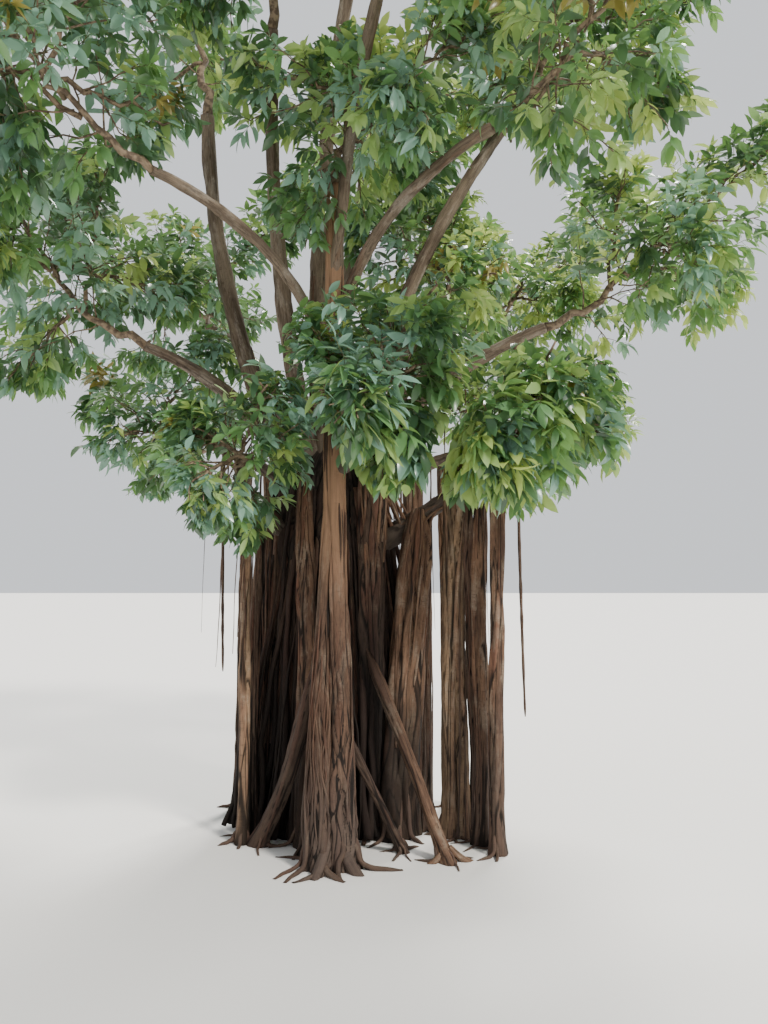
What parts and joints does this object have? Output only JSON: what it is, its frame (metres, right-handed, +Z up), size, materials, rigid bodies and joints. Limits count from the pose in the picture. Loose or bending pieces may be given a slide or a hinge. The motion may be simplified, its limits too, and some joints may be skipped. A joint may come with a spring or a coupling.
{
  "type": "banyan tree",
  "caption": "Banyan fig tree: a fluted core ringed by fused stems, pillar roots and prop roots, under an open crown of boughs and glossy leaf masses.",
  "frame": {"origin": "middle of the front stem's flat cut at ground level", "axes": "+Z up along the trunk, -Y towards the side seen in the picture, +X to the right as seen from there"},
  "size_m": [6.0274, 5.9661, 8.3682],
  "materials": {
    "lit_bark": "matte warm brown bark",
    "shaded_bark": "matte dark brown bark",
    "bough_bark": "matte grey brown bark",
    "foliage": "glossy dark green leaves"
  },
  "bodies": {
    "root": {"bough_back_left": "bough_bark", "bough_back_right": "bough_bark", "bough_centre": "bough_bark", "bough_front_left": "bough_bark", "bough_front_right": "bough_bark", "bough_high_back": "bough_bark", "bough_high_front": "bough_bark", "bough_high_left": "bough_bark", "bough_high_middle": "bough_bark", "bough_high_right": "bough_bark", "bough_left": "bough_bark", "bough_low_back_left": "bough_bark", "bough_low_back_right": "bough_bark", "bough_low_left": "bough_bark", "bough_low_middle": "bough_bark", "bough_low_right": "bough_bark", "bough_right": "bough_bark", "bough_top": "bough_bark", "foliage_back_left": "foliage", "foliage_back_right": "foliage", "foliage_centre": "foliage", "foliage_front_left": "foliage", "foliage_front_right": "foliage", "foliage_front_upper": "foliage", "foliage_high_back": "foliage", "foliage_high_front": "foliage", "foliage_high_left": "foliage", "foliage_high_middle": "foliage", "foliage_high_right": "foliage", "foliage_left": "foliage", "foliage_low_back_left": "foliage", "foliage_low_back_right": "foliage", "foliage_low_left": "foliage", "foliage_low_middle": "foliage", "foliage_low_right": "foliage", "foliage_right": "foliage", "foliage_top": "foliage", "hanging_root_left": "shaded_bark", "hanging_root_right": "shaded_bark", "pillar_back": "lit_bark", "pillar_back_left": "lit_bark", "pillar_back_left_far": "lit_bark", "pillar_back_right": "lit_bark", "pillar_back_right_far": "lit_bark", "pillar_left_inner": "shaded_bark", "pillar_left_outer": "lit_bark", "pillar_right_inner": "lit_bark", "pillar_right_last": "lit_bark", "pillar_right_lit": "lit_bark", "pillar_right_outer": "lit_bark", "pillar_right_slim": "shaded_bark", "prop_root_left": "lit_bark", "prop_root_long": "lit_bark", "prop_root_short": "shaded_bark", "stem_left": "lit_bark", "stem_middle": "shaded_bark", "stem_right": "lit_bark", "trunk_core": "shaded_bark", "trunk_front": "lit_bark"}
  },
  "joints": []
}
